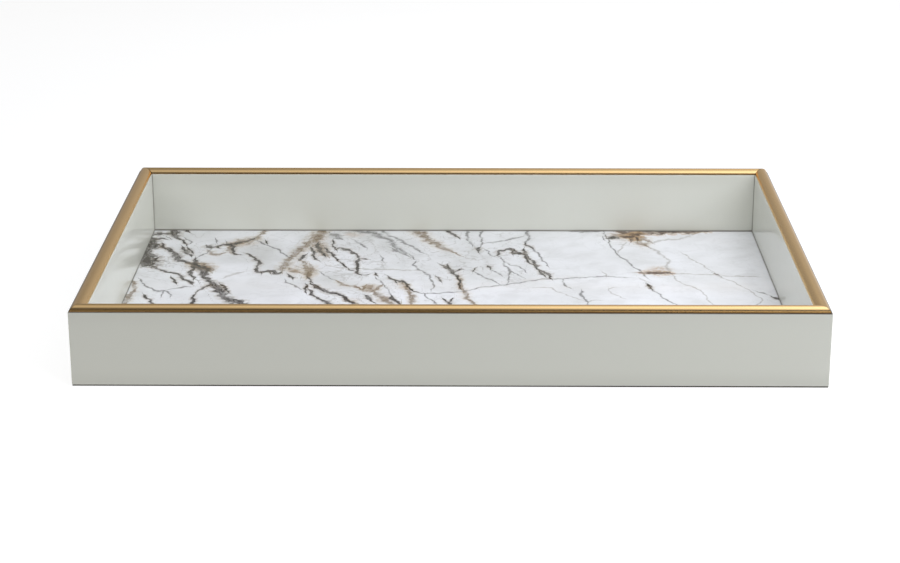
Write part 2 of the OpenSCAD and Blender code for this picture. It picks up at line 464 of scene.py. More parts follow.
# ---------------------------------------------------------------- flat sheets as closed grids
def grid_slab(name, lo, hi, nx, ny, edge=0.15 * MM, plain_below=False):
    """A closed sheet: a grid on top and below, joined round the rim by a rounded edge. Returns the object and the number of
    top vertices, which come first, row by row from the low corner."""
    xs, ys = np.linspace(lo[0] + edge, hi[0] - edge, nx + 1), np.linspace(lo[1] + edge, hi[1] - edge, ny + 1)
    X, Y = np.meshgrid(xs, ys)
    n = (nx + 1) * (ny + 1)
    top = np.stack([X.ravel(), Y.ravel(), np.full(n, hi[2])], 1)
    bot = top.copy(); bot[:, 2] = lo[2]
    idx = lambda i, j: j * (nx + 1) + i
    rim = [(i, 0) for i in range(nx)] + [(nx, j) for j in range(ny)] + [(i, ny) for i in range(nx, 0, -1)] + [(0, j) for j in range(ny, 0, -1)]
    m = len(rim)
    c = np.array([(lo[0] + hi[0]) / 2, (lo[1] + hi[1]) / 2])
    extra = []
    for drop, out in ((0.3, 0.72), (1.0, 1.0), (-1.0, 1.0), (-0.3, 0.72)):
        for i, j in rim:
            x, y = xs[i], ys[j]
            ox = edge * out * (1 if i == nx else -1 if i == 0 else 0)
            oy = edge * out * (1 if j == ny else -1 if j == 0 else 0)
            if ox and oy:
                ox, oy = ox * 0.75, oy * 0.75
            z = hi[2] - edge * drop if drop > 0 else lo[2] - edge * drop
            extra.append((x + ox, y + oy, z))
    verts = np.concatenate([top, bot, np.array(extra)])
    faces = []
    for j in range(ny):
        for i in range(nx):
            faces.append((idx(i, j), idx(i + 1, j), idx(i + 1, j + 1), idx(i, j + 1)))
    rt = [idx(i, j) for i, j in rim]
    if plain_below:                       # the underside is one flat face over the rim's own corners
        verts = np.concatenate([top, bot[rt], np.array(extra)])
        rows = [rt] + [[n + m + k * m + q for q in range(m)] for k in range(4)] + [[n + q for q in range(m)]]
        faces.append(tuple(n + q for q in reversed(range(m))))
    else:
        for j in range(ny):
            for i in range(nx):
                faces.append((n + idx(i, j), n + idx(i, j + 1), n + idx(i + 1, j + 1), n + idx(i + 1, j)))
        rows = [rt] + [[2 * n + k * m + q for q in range(m)] for k in range(4)] + [[n + q for q in rt]]
    for a, b in zip(rows[:-1], rows[1:]):
        for q in range(m):
            faces.append((a[q], b[q], b[(q + 1) % m], a[(q + 1) % m]))
    ob = new_mesh(name, verts, faces, 60)
    return ob, n


# ---------------------------------------------------------------- the marble pattern
# Veins as listed routes over the floor of the tray: x, y and width in millimetres. A vein's kind picks its colour.
DARK, GREY, TAN, RUST, FAINT = 0, 1, 2, 3, 4
VEINS = [
    # the long vein from the back left corner, and what branches off it
    (DARK, [(-212, 110, 2.1), (-204, 101, 3.9), (-199, 97, 4.5), (-196, 90, 4.2), (-193, 84, 5.2), (-190, 76, 5.6), (-186, 70, 4.5), (-181, 66, 3.9), (-177, 62, 7), (-172, 57, 10.5), (-169, 50, 7.4), (-168, 42, 5.6), (-166, 34, 4.5), (-162, 26, 4.9), (-157, 18, 8), (-154, 9, 7), (-152, 1, 6.2), (-149, -6, 5.6), (-144, -11, 9.6), (-138, -16, 7.9), (-132, -22, 5.2), (-127, -32, 4.2), (-120, -42, 5.6), (-112, -52, 3.9), (-106, -64, 4.9), (-101, -76, 3.5), (-92, -88, 4.5), (-86, -100, 3.1), (-79, -112, 4.2), (-73, -126, 2.8), (-70, -142, 2.5)]),
    (RUST, [(-184, 68, 2), (-179, 64, 4), (-174, 61, 5), (-170, 57, 5), (-167, 51, 3)]),
    (DARK, [(-178, 77, 2), (-178, 70, 3.9), (-176, 64, 4.8), (-173, 58, 4.8)]),
    (DARK, [(-176, 55, 2.4), (-177, 48, 3.9), (-177, 42, 3.2), (-175, 36, 2.5), (-174, 30, 1.6)]),
    (DARK, [(-155, 22, 1.6), (-151, 14, 2.5), (-149, 9, 2.1), (-147, 4, 1.3)]),
    (DARK, [(-161, 22, 2), (-164, 16, 2.5), (-168, 10, 1.6), (-169, 3, 1.3), (-170, -5, 2.3), (-169, -13, 3.2), (-168, -22, 2.3), (-163, -32, 2), (-160, -44, 1.3)]),
    (DARK, [(-207, 60, 5.6), (-202, 54, 3.2), (-196, 49, 2.5), (-190, 44, 2.3), (-185, 41, 2.5), (-182, 35, 3.2), (-179, 30, 2.5), (-176, 26, 3.6), (-174, 22, 4.8)]),
    (DARK, [(-190, 38, 1.3), (-188, 32, 2.1), (-186, 26, 2.3), (-184, 21, 1.3)]),
    (DARK, [(-201, 142, 7.2), (-200, 134, 7.2), (-198, 126, 4.8), (-195, 120, 3.2), (-191, 113, 2.3), (-188, 107, 2), (-187, 103, 1.3)]),
    (DARK, [(-191, 142, 4.8), (-191, 138, 3.2), (-188, 133, 1.3)]),
    (DARK, [(-216, 127, 4.8), (-211, 130, 5.6), (-206, 132, 5.6), (-202, 131, 8)]),
    (DARK, [(-216, 119, 4.8), (-210, 120, 4.8), (-206, 120, 3.2), (-203, 118, 1.6)]),
    (DARK, [(-206, 111, 1.6), (-204, 103, 2.9), (-201, 95, 1.6)]),
    (DARK, [(-191, 104, 1.3), (-189, 97, 2.9), (-186, 90, 3.6), (-183, 84, 2.9), (-181, 79, 1.3)]),
    (DARK, [(-187, 101, 1.3), (-184, 94, 2.5), (-181, 87, 1.6)]),
    (DARK, [(-174, 106, 1.6), (-172, 102, 5.6), (-169, 100, 3.2), (-165, 103, 3.2), (-161, 107, 4.1), (-157, 107, 4.5), (-155, 101, 3.9), (-154, 94, 3.2), (-153, 89, 3.2), (-150, 85, 2.5), (-147, 84, 1.6)]),
    (DARK, [(-166, 104, 1.6), (-165, 99, 3.2), (-163, 98, 1.6)]),
    (DARK, [(-133, 117, 1.3), (-132, 112, 2.1), (-131, 108, 1.3)]),
    (DARK, [(-145, 88, 1.6), (-141, 83, 2.5), (-137, 77, 2.5), (-134, 71, 3.2), (-133, 64, 2.9), (-134, 59, 2.5), (-133, 53, 2.5), (-132, 47, 3.6), (-128, 47, 3.9), (-124, 49, 3.9), (-121, 48, 4.1), (-119, 44, 4.1), (-116, 47, 2.5)]),
    (DARK, [(-130, 47, 1.6), (-129, 42, 1.1)]),
    (DARK, [(-125, 49, 1.6), (-123, 43, 1.3)]),
    (DARK, [(-101, 87, 1.7), (-103, 81, 2.8), (-105, 76, 3.1), (-106, 71, 1.4)]),
    (DARK, [(-112, 44, 1.4), (-110, 39, 2.8), (-108, 34, 2.1), (-107, 30, 1)]),
    (DARK, [(-100, 102, 1.4), (-98, 95, 2.5), (-97, 88, 2.2), (-96, 80, 2), (-94, 74, 1.7), (-91, 69, 1.1)]),
    (DARK, [(-95, 113, 1.4), (-96, 106, 3.4), (-94, 99, 3.6), (-92, 93, 2.8), (-90, 86, 2), (-88, 79, 1.4)]),
    (DARK, [(-85, 120, 1.1), (-85, 112, 1.8), (-84, 104, 1.8), (-82, 98, 1.7), (-81, 93, 1.4)]),
    (DARK, [(-82, 96, 2), (-79, 99, 2.8), (-75, 96, 4.2), (-71, 93, 3.4), (-68, 87, 2.5), (-66, 81, 2.2), (-65, 74, 2.8), (-65, 67, 2.5), (-65, 60, 2.1), (-65, 53, 2.2), (-64, 46, 2.8), (-62, 41, 2.2)]),
    (DARK, [(-64, 76, 1.4), (-61, 75, 3.4), (-58, 74, 2.8)]),
    (DARK, [(-62, 42, 1.3), (-58, 41, 2), (-56, 43, 2.3)]),
    (DARK, [(-52, 46, 1.3), (-51, 42, 2.5), (-50, 38, 1.3)]),
    (DARK, [(-89, 98, 4.2), (-87, 93, 3.4), (-84, 86, 2.8), (-82, 79, 2.2), (-79, 73, 1.5), (-76, 65, 1.4), (-73, 58, 1.4), (-70, 53, 1.4), (-66, 49, 1.4)]),
    (DARK, [(-95, 25, 1.4), (-93, 21, 3.4), (-90, 15, 3.6), (-86, 11, 4.2), (-82, 7, 4.2), (-78, 4, 4.5), (-74, 1, 3.6), (-71, -4, 2.8), (-68, -9, 3.1), (-64, -16, 3.4), (-58, -25, 2.5), (-52, -34, 3.4), (-46, -46, 2.2), (-40, -56, 3.1), (-31, -68, 2.2), (-25, -82, 2.5), (-20, -98, 1.4)]),
    (DARK, [(-98, 23, 1.4), (-97, 16, 2.2), (-97, 9, 1.7), (-96, 3, 1.1)]),
    (DARK, [(-96, 14, 1.4), (-94, 8, 2.2), (-92, 2, 2), (-89, -4, 2.8), (-86, -9, 2), (-82, -14, 4.2), (-76, -20, 2), (-72, -28, 1.4)]),
    (DARK, [(-98, 38, 1.4), (-96, 31, 1.7), (-93, 24, 2)]),
    (DARK, [(-58, 1, 1.3), (-55, -1, 3.8), (-55, -6, 3.1), (-53, -11, 1.8), (-50, -15, 1.3)]),
    (DARK, [(-45, 42, 1), (-43, 37, 2), (-40, 32, 2.3), (-36, 30, 2.9), (-33, 28, 3.6), (-31, 23, 2.5), (-29, 17, 1.8), (-26, 11, 1.6), (-23, 6, 1.3), (-20, 4, 1.3)]),
    (DARK, [(-38, 29, 2.3), (-37, 24, 1.5)]),
    (DARK, [(-11, 39, 1.9), (-9, 35, 2.5), (-8, 30, 1.8), (-7, 26, 1)]),
    (DARK, [(-9, 65, 1.3), (-6, 61, 2.3), (-3, 56, 3.1), (-1, 50, 4.3), (1, 45, 3.8), (3, 41, 3.1), (4, 36, 2), (5, 28, 1.6), (5, 20, 1.6), (6, 13, 1.2)]),
    (DARK, [(0, 49, 2), (3, 50, 2.5), (6, 54, 2.3), (8, 53, 1.3)]),
    (DARK, [(-1, 53, 1.3), (-3, 59, 2.5), (-3, 66, 1.8)]),
    (DARK, [(-5, 142, 4.4), (-3, 136, 3.8), (1, 130, 2.5), (4, 125, 2), (5, 120, 1.3)]),
    (DARK, [(-40, 1, 1.3), (-39, -4, 3.1), (-37, -10, 3.1), (-34, -17, 1.8), (-30, -26, 1.3)]),
    (DARK, [(-6, -5, 1), (-4, -11, 2), (-2, -15, 2.5), (0, -24, 1.3)]),
    (DARK, [(1, -5, 1.3), (0, -10, 2.5), (-2, -14, 2.5)]),
    (DARK, [(29, 82, 1.3), (31, 84, 2), (33, 89, 1.8), (32, 95, 2.5), (36, 95, 2.9), (40, 99, 3.1), (42, 95, 3.1), (44, 90, 5.1), (48, 89, 5.7), (50, 86, 3.3)]),
    (DARK, [(40, 101, 1.3), (43, 96, 2), (42, 90, 1.8), (42, 84, 1)]),
    (DARK, [(50, 100, 1.6), (50, 92, 2.5), (50, 86, 3.1), (53, 78, 2.5), (56, 70, 2.5), (57, 62, 2.9), (58, 56, 2), (61, 50, 3.1), (64, 45, 4.1), (66, 39, 2.5), (67, 33, 2)]),
    (DARK, [(50, 84, 1.6), (51, 75, 1.8), (54, 67, 1.6), (57, 60, 1.3)]),
    (DARK, [(58, 53, 1.3), (60, 46, 2.3), (62, 41, 1.8), (64, 36, 1)]),
    (DARK, [(51, 112, 1.6), (53, 106, 3.1), (55, 102, 2.5), (57, 97, 1.3)]),
    (DARK, [(20, 104, 1.3), (18, 97, 3.8), (18, 90, 1.8)]),
    (DARK, [(24, 62, 1.3), (25, 58, 3.1), (26, 53, 1.8)]),
    (DARK, [(17, 58, 1), (15, 53, 2), (14, 48, 1.3)]),
    (GREY, [(86, 12, 1), (86, 6, 1.9), (86, 0, 2.2), (87, -6, 1.4), (88, -11, 1.2), (90, -24, 1.4), (86, -36, 1.2), (80, -50, 1.2)]),
    (GREY, [(107, 142, 1.2), (109, 131, 1.2), (110, 121, 1), (111, 108, 1), (113, 95, 1.1), (115, 86, 1.3), (118, 78, 1.4), (122, 67, 1.4), (125, 57, 1.4), (128, 50, 1.6), (130, 43, 1.4), (132, 35, 1)]),
    (GREY, [(130, 27, 0.8), (131, 22, 1.8), (132, 17, 3), (133, 12, 1.6), (136, 5, 1.3), (139, -3, 1.2), (143, -12, 1.2), (147, -20, 1), (153, -32, 1.3), (160, -44, 1), (167, -60, 1.4), (175, -76, 1), (182, -92, 1.5), (192, -108, 1), (200, -124, 1.2), (205, -142, 1)]),
    (FAINT, [(176, 52, 0.6), (178, 46, 1.4), (180, 41, 2), (183, 36, 1), (188, 29, 0.8), (193, 20, 0.8), (197, 13, 0.7)]),
    (GREY, [(202, 9, 1), (205, 6, 1.9), (208, 3, 1.2)]),
    (DARK, [(210, 1, 1.5), (213, -4, 2.9), (216, -9, 2.9)]),
    (GREY, [(107, 127, 1), (107, 122, 1.7), (108, 118, 1)]),
    (DARK, [(110, 122, 4.4), (114, 124, 7.4), (118, 122, 4.4)]),
    (DARK, [(-204, 2, 1.3), (-201, -6, 2.3), (-198, -10, 2.5), (-195, -16, 2), (-190, -26, 2.3), (-186, -38, 1.6), (-178, -50, 2.3), (-172, -64, 1.6), (-168, -80, 2.3), (-172, -96, 1.6), (-166, -112, 2.4), (-170, -128, 1.6), (-166, -142, 1.6)]),
    (DARK, [(-216, -40, 2.3), (-200, -52, 3.2), (-188, -60, 2.5), (-176, -74, 4.5), (-160, -84, 3.2), (-148, -98, 5.5), (-140, -112, 3.6), (-128, -126, 4.5), (-120, -142, 2.5)]),
    (DARK, [(-112, -52, 1.7), (-98, -48, 2.2), (-86, -52, 1.4), (-74, -47, 2), (-60, -42, 1.4)]),
    (DARK, [(-25, -82, 1.3), (-14, -90, 2.3), (-2, -92, 1.6), (10, -100, 3.1), (24, -98, 1.8), (38, -90, 2.5)]),
    (DARK, [(60, -20, 1.2), (72, -34, 2.1), (80, -50, 2.6), (94, -62, 1.8), (104, -78, 2.3), (112, -96, 1.5), (124, -108, 2.3), (130, -126, 1.5), (140, -142, 1.5)]),
    # thin grey veins
    (GREY, [(-211, 33, 1.2), (-207, 25, 1.7), (-204, 17, 1.7), (-199, 11, 1.4), (-195, 8, 3.1), (-190, 8, 1.9), (-187, 4, 1.4), (-185, -5, 1.2)]),
    (GREY, [(-191, 8, 1.2), (-191, 0, 1.2), (-191, -5, 0.8)]),
    (GREY, [(-189, 10, 1.2), (-183, 13, 1.7), (-177, 16, 2.4), (-174, 16, 1.9)]),
    (GREY, [(-139, 116, 1.9), (-135, 110, 1.7), (-131, 106, 1.4), (-126, 100, 1.4), (-122, 95, 1.7), (-119, 89, 1.4), (-115, 82, 1.4), (-112, 77, 1.2)]),
    (GREY, [(-170, 101, 1.2), (-170, 94, 1.2), (-171, 88, 1.2), (-175, 82, 1.4), (-178, 77, 1.4)]),
    (GREY, [(-169, 121, 1), (-168, 115, 1.7), (-167, 110, 1.2)]),
    (GREY, [(-161, 115, 0.8), (-160, 109, 1.7)]),
    (GREY, [(-191, 122, 1), (-187, 116, 1.7), (-185, 111, 1.4), (-187, 106, 1)]),
    (GREY, [(-202, 72, 1.2), (-199, 70, 2.4), (-196, 66, 1.9)]),
    (GREY, [(-112, 31, 1.2), (-110, 25, 1.7), (-106, 20, 1.4), (-103, 15, 1.9), (-100, 11, 1.2)]),
    (GREY, [(-90, 48, 1), (-87, 41, 1.2), (-83, 35, 1.2), (-80, 31, 1.2)]),
    (GREY, [(-25, 71, 1.2), (-27, 64, 1.7), (-25, 59, 1.4), (-21, 50, 1.2), (-18, 44, 1.7), (-15, 39, 1.9), (-14, 32, 1.7), (-13, 24, 1.4), (-12, 16, 1.4), (-14, 8, 1)]),
    (GREY, [(-20, 4, 1.2), (-14, 4, 1.7), (-8, 4, 1.4), (-2, 6, 1.4), (4, 7, 1.4)]),
    (GREY, [(-62, 142, 6), (-56, 132, 6), (-50, 124, 4.8), (-44, 115, 4.8), (-41, 104, 3.6), (-37, 96, 3), (-32, 88, 1.8)]),
    (GREY, [(-52, 142, 3.6), (-46, 130, 3), (-38, 118, 3.6), (-32, 108, 2.4), (-26, 98, 2.4), (-20, 88, 1.2)]),
    (GREY, [(-72, 120, 1.2), (-66, 110, 1.9), (-62, 104, 2.2), (-60, 97, 1.2)]),
    (GREY, [(-50, 83, 1), (-49, 75, 1.8), (-48, 70, 1)]),
    (GREY, [(-30, 86, 1.2), (-28, 80, 1.9), (-26, 74, 1.2)]),
    (GREY, [(11, 142, 2.4), (10, 128, 2.4), (11, 118, 1.7), (13, 110, 1.7), (14, 104, 1)]),
    (GREY, [(22, 142, 2.4), (20, 132, 1.7), (20, 120, 1.4), (21, 111, 1.4), (20, 104, 1.4)]),
    (GREY, [(22, 98, 1.2), (25, 91, 1.2), (27, 84, 1.4), (29, 81, 1.4)]),
    (GREY, [(55, 142, 2.9), (53, 133, 2.6), (54, 124, 1.9), (53, 116, 1.9), (51, 111, 1.9)]),
    (GREY, [(55, 101, 1.2), (58, 93, 1.7), (60, 85, 1.4), (62, 76, 1.2), (64, 67, 1), (66, 58, 1)]),
    (GREY, [(20, 109, 1.2), (28, 113, 1.9), (36, 117, 2.4), (44, 122, 2.4), (50, 127, 1.7)]),
    (GREY, [(31, 86, 1.2), (33, 79, 1.2), (35, 71, 1.2), (36, 63, 1.4), (38, 56, 1.9), (39, 50, 1.7), (39, 43, 1.2), (38, 34, 1), (37, 24, 1)]),
    (GREY, [(37, 68, 1.4), (41, 63, 1.4), (46, 58, 1.2), (49, 52, 1.7), (50, 47, 1.2)]),
    (GREY, [(26, 53, 1.2), (29, 48, 1.2), (32, 44, 1.9), (34, 39, 1.2)]),
    (GREY, [(13, 51, 1), (18, 43, 1.2), (23, 36, 1.2), (28, 29, 1.2), (32, 22, 1.9)]),
    (GREY, [(75, 33, 1.7), (74, 26, 1.6), (76, 20, 1.4), (79, 15, 1.2)]),
    (FAINT, [(54, 16, 0.8), (60, 16, 0.8), (66, 16, 1), (69, 10, 1), (74, 3, 0.8), (80, -3, 1), (86, -9, 1)]),
    (FAINT, [(102, 49, 0.8), (104, 42, 1.2), (104, 38, 1)]),
    (FAINT, [(104, 13, 1), (106, 16, 1.4), (110, 17, 1.2)]),
    (FAINT, [(104, 14, 0.8), (105, 6, 0.8), (109, 0, 0.8), (114, -6, 0.6)]),
    (FAINT, [(88, -12, 1.5), (91, -11, 1.2), (93, -9, 1), (98, -9, 0.8)]),
    (GREY, [(40, 50, 1), (45, 42, 1), (49, 35, 1)]),
    (FAINT, [(138, 103, 3.4), (142, 95, 2.8), (145, 87, 2.2), (148, 78, 1.8), (149, 70, 1.7), (147, 62, 2), (147, 55, 2.5), (148, 48, 2)]),
    (FAINT, [(123, 114, 1.4), (120, 106, 1.2), (117, 97, 1), (115, 89, 1)]),
    (FAINT, [(149, 46, 1), (158, 45, 1.6), (168, 44, 1.2), (178, 43, 1), (186, 41, 1), (197, 40, 1.4), (208, 39, 1)]),
    (FAINT, [(159, 92, 0.8), (163, 82, 0.8), (167, 73, 1), (172, 62, 1), (175, 54, 1)]),
    (FAINT, [(197, 13, 0.8), (200, 4, 0.8), (203, -8, 0.7), (198, -22, 1), (204, -40, 0.8), (216, -52, 1)]),
    (FAINT, [(149, 44, 1.2), (150, 36, 1.2), (153, 28, 1), (157, 21, 0.8), (162, 16, 1.4), (166, 8, 0.8), (167, -2, 0.8), (169, -12, 0.8), (176, -26, 0.8)]),
    (GREY, [(-18, 4, 1), (-17, -3, 1.2), (-13, -8, 1.4), (-11, -15, 1.4), (-6, -28, 1)]),
    (GREY, [(-43, 16, 1), (-42, 7, 1.2), (-40, 0, 1.2)]),
    (FAINT, [(126, 37, 1), (129, 32, 1.2), (132, 27, 1)]),
    (GREY, [(-52, 38, 0.8), (-49, 30, 1.1), (-46, 22, 1.1), (-44, 15, 1)]),
    (FAINT, [(140, 112, 2.4), (148, 118, 3.2), (158, 121, 3.2), (165, 125, 3.2), (171, 131, 2.4), (176, 137, 1.6)]),
    (GREY, [(-106, -64, 1.2), (-112, -78, 1.7), (-120, -90, 1.2), (-124, -104, 1.7), (-134, -118, 1.2), (-140, -112, 1.2)]),
    (GREY, [(-46, -46, 1.2), (-34, -44, 1.7), (-20, -50, 1.2), (-8, -46, 1.9), (8, -52, 1.4), (24, -48, 1.2)]),
    (GREY, [(182, -92, 1.2), (170, -104, 1.7), (158, -112, 1.2), (150, -126, 1.6), (146, -142, 1.2)]),
    (GREY, [(-20, -98, 1.2), (-28, -112, 1.7), (-26, -126, 1.2), (-34, -142, 1.2)]),
    (GREY, [(66, -74, 1.2), (60, -88, 1.6), (66, -102, 1.2), (74, -116, 1.7), (72, -130, 1.2), (80, -142, 1)]),
    (GREY, [(-216, -92, 1.2), (-204, -98, 1.7), (-194, -110, 1.2), (-190, -124, 1.7), (-182, -142, 1.2)]),
    # tan and brown veins
    (TAN, [(-116, 46, 3.2), (-116, 53, 5.2), (-115, 61, 6.3), (-114, 69, 5.5), (-112, 77, 5), (-110, 85, 5.5), (-108, 93, 6.3), (-105, 101, 7.1), (-102, 110, 7.1), (-100, 119, 6.3), (-98, 128, 7.1), (-94, 142, 8.4)]),
    (TAN, [(-92, 142, 8.5), (-95, 130, 7.6), (-96, 120, 6.8), (-96, 110, 6.8), (-94, 101, 8.5), (-91, 93, 6.8), (-89, 85, 5.1), (-86, 79, 3.4)]),
    (TAN, [(-78, 30, 2.1), (-75, 26, 3.6), (-72, 21, 3.3), (-68, 18, 3), (-64, 17, 3), (-61, 13, 3), (-59, 10, 3), (-55, 10, 2.4), (-52, 8, 2.1)]),
    (TAN, [(-59, 10, 2.1), (-58, 18, 2.7), (-57, 21, 1.2)]),
    (TAN, [(-53, 8, 1.8), (-50, 14, 3), (-47, 19, 3), (-46, 22, 1.5)]),
    (TAN, [(4, 40, 3.8), (5, 30, 3.3), (6, 20, 3), (7, 12, 3.6), (9, 4, 3.9), (10, -4, 3.3), (13, -12, 3), (16, -20, 2.7), (21, -34, 3.6), (25, -48, 2.4), (30, -60, 3), (33, -74, 2.4), (40, -88, 3), (45, -102, 2.1), (50, -118, 2.7), (57, -130, 2.1), (60, -142, 2.1)]),
    (TAN, [(-33, 26, 6), (-31, 18, 4.5), (-29, 10, 3), (-27, 2, 3.6), (-26, -6, 4.8), (-26, -14, 3.6), (-24, -24, 3), (-18, -34, 1.5)]),
    (TAN, [(-135, 142, 5.2), (-136, 134, 3.9), (-139, 127, 3), (-139, 119, 3.3)]),
    (TAN, [(-29, 142, 9), (-24, 134, 9), (-20, 125, 6.8), (-16, 116, 6), (-11, 108, 6.8), (-6, 100, 6), (0, 91, 2.2), (7, 81, 1.5)]),
    (TAN, [(-98, 64, 3), (-97, 56, 6), (-96, 48, 7.5), (-97, 40, 6), (-98, 34, 3)]),
    (TAN, [(-106, 74, 1.8), (-103, 68, 3.6), (-101, 62, 3.6), (-99, 57, 2.2)]),
    (TAN, [(-71, -3, 3), (-67, -10, 3.6), (-62, -17, 3), (-56, -24, 2.1)]),
    (GREY, [(6, 8, 1.6), (11, 10, 1.2), (15, 13, 1.2), (19, 16, 1), (25, 18, 1.3), (30, 20, 1.6), (34, 21, 1.8), (39, 23, 1.4), (45, 26, 1.2), (50, 29, 1.6), (56, 31, 1.4), (62, 33, 1.4), (70, 34, 1.2), (78, 35, 1.5), (86, 36, 1.6), (92, 38, 1.3), (98, 39, 1.6), (104, 39, 1.3), (112, 38, 1.1), (121, 37, 0.9)]),
    (TAN, [(128, 134, 6), (130, 126, 6.8), (131, 119, 6), (133, 111, 6), (137, 104, 5.2)]),
    (TAN, [(-216, 32, 3), (-212, 18, 3), (-210, 9, 2.2), (-213, 0, 4.5), (-212, -14, 4.5), (-216, -26, 3)]),
    (TAN, [(34, -74, 1.5), (50, -70, 2), (66, -74, 2.4), (84, -68, 1.8), (98, -70, 2.4), (120, -64, 1.8), (140, -66, 2.2), (166, -60, 1.5)]),
    (TAN, [(-148, -98, 3), (-134, -96, 2.4), (-122, -102, 1.8), (-110, -98, 3), (-92, -88, 2.4)]),
    # rust and brown patches
    (RUST, [(118, 138, 5), (126, 136, 9), (134, 135, 10), (142, 136, 9), (150, 137, 9), (160, 138, 8), (170, 139, 7), (180, 140, 6), (192, 142, 3)]),
    (RUST, [(118, 126, 3), (124, 127, 6), (130, 130, 8), (137, 133, 6)]),
    (TAN, [(112, 128, 4), (118, 130, 8), (126, 128, 10), (134, 122, 8), (140, 114, 5)]),
    (RUST, [(131, 117, 2.7), (131, 125, 3.5)]),
    (RUST, [(125, 48, 2), (131, 47, 4.5), (136, 47, 6), (142, 47, 6.5), (147, 46, 5), (151, 45, 2)]),
    (TAN, [(-111, 55, 3.8), (-108, 50, 7.6), (-104, 46, 3.8)]),
    (TAN, [(-181, 63, 4), (-175, 61, 8), (-171, 58, 12), (-167, 53, 8), (-164, 47, 3)]),
    (RUST, [(62, -75, 2.7), (68, -74, 4.1), (74, -72, 2)]),
    (RUST, [(-96, -86, 2), (-91, -89, 4.1), (-88, -95, 2)]),
    # dark clots, broad tan bands and the fibrous mass at the left wall
    (DARK, [(-216, 124, 5), (-213, 112, 9), (-212, 102, 10), (-213, 93, 7), (-213, 86, 7), (-212, 79, 13), (-210, 71, 15), (-208, 63, 13), (-206, 58, 6)]),
    (DARK, [(-204, 78, 3.4), (-207, 70, 3.4), (-206, 64, 3.4)]),
    (DARK, [(136, 139, 2), (148, 139.5, 4), (162, 140, 4), (178, 140, 3), (194, 141, 1.5)]),
    (DARK, [(130, 24, 1.1), (132, 19, 3.6), (133, 13, 2.1)]),
    (DARK, [(177, 47, 1.1), (179, 44, 2.5), (181, 41, 1.1)]),
    (DARK, [(-162, 106, 2), (-155, 108, 4), (-149, 112, 4), (-144, 117, 3), (-140, 123, 2)]),
    (TAN, [(-160, 104, 4), (-153, 108, 9), (-147, 114, 11), (-142, 120, 8), (-139, 127, 3)]),
    (TAN, [(-172, 95, 2), (-168, 88, 5), (-163, 85, 4), (-158, 89, 3)]),
    (TAN, [(-157, 104, 4), (-156, 96, 4), (-155, 88, 3), (-151, 85, 2)]),
    (TAN, [(-60, 12, 3), (-56, 16, 6), (-53, 10, 6), (-50, 4, 4), (-44, -8, 7), (-38, -18, 6)]),
    (TAN, [(-100, 66, 2.5), (-101, 58, 3.5), (-98, 50, 5), (-97, 40, 6), (-98, 33, 3)]),
    (FAINT, [(-154, 34, 2), (-150, 40, 3), (-145, 45, 3), (-141, 48, 2)]),
    (FAINT, [(-85, 60, 1.5), (-70, 55, 2), (-50, 53, 2.5), (-35, 52, 2), (-20, 51, 1.5)]),
    (RUST, [(126, 114, 2), (127, 122, 4), (129, 130, 6), (133, 136, 7)]),
    (GREY, [(-74, 142, 8), (-68, 138, 6), (-60, 135, 4), (-52, 131, 3)]),
    (GREY, [(82, 141, 6), (96, 139, 6), (108, 140, 4)]),
    (GREY, [(-88, 134, 5), (-84, 128, 8), (-82, 123, 6), (-78, 118, 2)]),
    (GREY, [(-43, 100, 3), (-39, 94, 5), (-34, 87, 3), (-30, 80, 2)]),
]
# Soft patches: x, y, half width, half height in millimetres, turn in degrees, strength
# The first SHADE patch is painted shade: it greys the middle of the floor where the light is weaker; the others are the
# stone's own grey cells.
SHADE = [(70, 50, 60, 62, 0, 0.16), (-133, 85, 15, 30, 8, 0.55), (-108, 102, 7, 34, -12, 0.4), (-78, 30, 12, 16, 10, 0.5), (-45, 105, 26, 38, 20, 0.4), (14, 85, 26, 42, 5, 0.38), (134, 78, 14, 34, 8, 0.3),
         (-188, 92, 10, 16, 20, 0.35), (-186, 125, 14, 12, 0, 0.3), (40, 45, 18, 18, 0, 0.22), (-20, 62, 18, 16, 0, 0.25), (120, 15, 22, 16, 0, 0.14), (-130, -60, 22, 14, 30, 0.3), (-40, -100, 22, 16, 10, 0.3),
         (60, -50, 20, 12, -20, 0.28), (120, -100, 24, 14, 20, 0.25), (-190, -90, 16, 20, 0, 0.3), (10, -125, 26, 10, 0, 0.25), (180, -40, 16, 14, 0, 0.2)]
WARM = [(-148, 111, 10, 8, 35, 0.75), (-33, 20, 4, 9, 10, 0.6), (-55, 15, 5, 7, 0, 0.55), (-97, 46, 5, 13, 0, 0.9), (-107, 51, 6, 8, 20, 0.9), (-170, 57, 8, 8, 20, 1.0), (-178, 62, 5, 5, 0, 0.7), (-93, 102, 7, 26, 5, 0.5), (-72, 131, 8, 7, 0, 0.45),
        (-16, 116, 6, 22, 28, 0.45), (126, 124, 9, 11, 0, 0.55), (134, 110, 5, 12, 20, 0.45), (141, 53, 8, 6, 0, 1.0), (141, 57, 5, 5, 0, 0.7), (-104, 92, 4, 30, -10, 0.35), (5, 30, 2.5, 14, 0, 0.45), (-26, -5, 3, 12, 0, 0.45),
        (-46, -9, 7, 8, 0, 0.3), (8, 2, 5, 10, 0, 0.35), (-62, -12, 8, 5, 0, 0.35), (55, 32, 26, 3, 14, 0.2), (116, 132, 8, 6, 0, 0.3), (-60, -30, 9, 7, 0, 0.4), (-102, -70, 7, 10, 0, 0.45),
        (22, -46, 5, 10, 0, 0.4), (-150, -92, 9, 7, 20, 0.4), (46, -100, 5, 12, 10, 0.4), (70, -72, 10, 4, 0, 0.5), (180, -90, 7, 8, 0, 0.3)]
